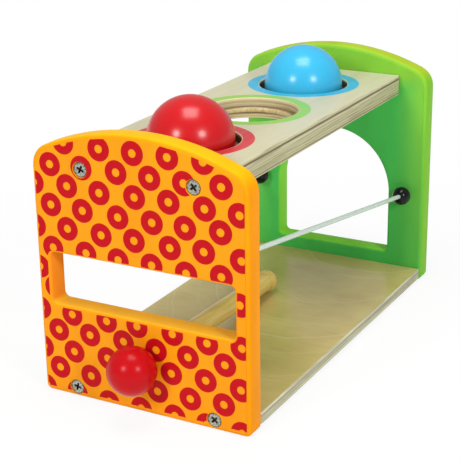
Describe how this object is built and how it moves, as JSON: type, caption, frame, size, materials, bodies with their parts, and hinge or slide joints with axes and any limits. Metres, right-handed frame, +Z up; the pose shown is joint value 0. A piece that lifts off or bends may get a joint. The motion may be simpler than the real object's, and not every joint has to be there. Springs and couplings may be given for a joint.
{
  "type": "pounding bench toy",
  "caption": "Wooden pounding bench: arched end panels, a plank with ball holes over a base board, balls to knock through, sloping rails and a stored mallet.",
  "frame": {"origin": "on the floor, under the middle of the whole outline, mallet head included", "axes": "+Z up; +Y from the ringed front panel towards the arched back panel; X across the bench"},
  "size_m": [0.12, 0.2627, 0.1511],
  "materials": {
    "orange_paint": "orange paint with printed red rings, satin",
    "green_paint": "green paint, satin",
    "plywood": "clear-coated birch plywood",
    "red_lacquer": "gloss lacquer",
    "blue_lacquer": "gloss lacquer",
    "plain_wood": "plain, lightly waxed",
    "screw_steel": "zinc plated",
    "black_bead": "gloss",
    "white_rod": "satin",
    "elastic": "matt"
  },
  "bodies": {
    "bench": {"front_panel": "orange_paint", "back_panel": "green_paint", "plank": "plywood", "base": "plywood", "rail_left": "white_rod", "rail_right": "white_rod", "bead_front_left": "black_bead", "bead_front_right": "black_bead", "bead_back_left": "black_bead", "bead_back_right": "black_bead", "retaining_ring_front": "elastic", "retaining_ring_middle": "elastic", "retaining_ring_back": "elastic", "screw_front_plank_left": "screw_steel", "screw_front_plank_right": "screw_steel", "screw_front_base_left": "screw_steel", "screw_front_base_right": "screw_steel", "screw_back_plank_left": "screw_steel", "screw_back_plank_right": "screw_steel", "screw_back_base_left": "screw_steel", "screw_back_base_right": "screw_steel"},
    "red_ball": {"ball_red": "red_lacquer"},
    "blue_ball": {"ball_blue": "blue_lacquer"},
    "mallet": {"mallet_head": "red_lacquer", "mallet_handle": "plain_wood", "mallet_knob": "plain_wood"}
  },
  "joints": [
    {"name": "red_ball_drop", "type": "slide", "parent": "bench", "child": "red_ball", "axis": [0, 0, 1], "range_m": [-0.076, 0.025], "deforming": ["retaining_ring_front"]},
    {"name": "blue_ball_drop", "type": "slide", "parent": "bench", "child": "blue_ball", "axis": [0, 0, 1], "range_m": [-0.0975, 0.025], "deforming": ["retaining_ring_back"]},
    {"name": "mallet_slide", "type": "slide", "parent": "bench", "child": "mallet", "axis": [0.0574, -0.9951, 0.0811], "range_m": [0, 0.16]}
  ]
}
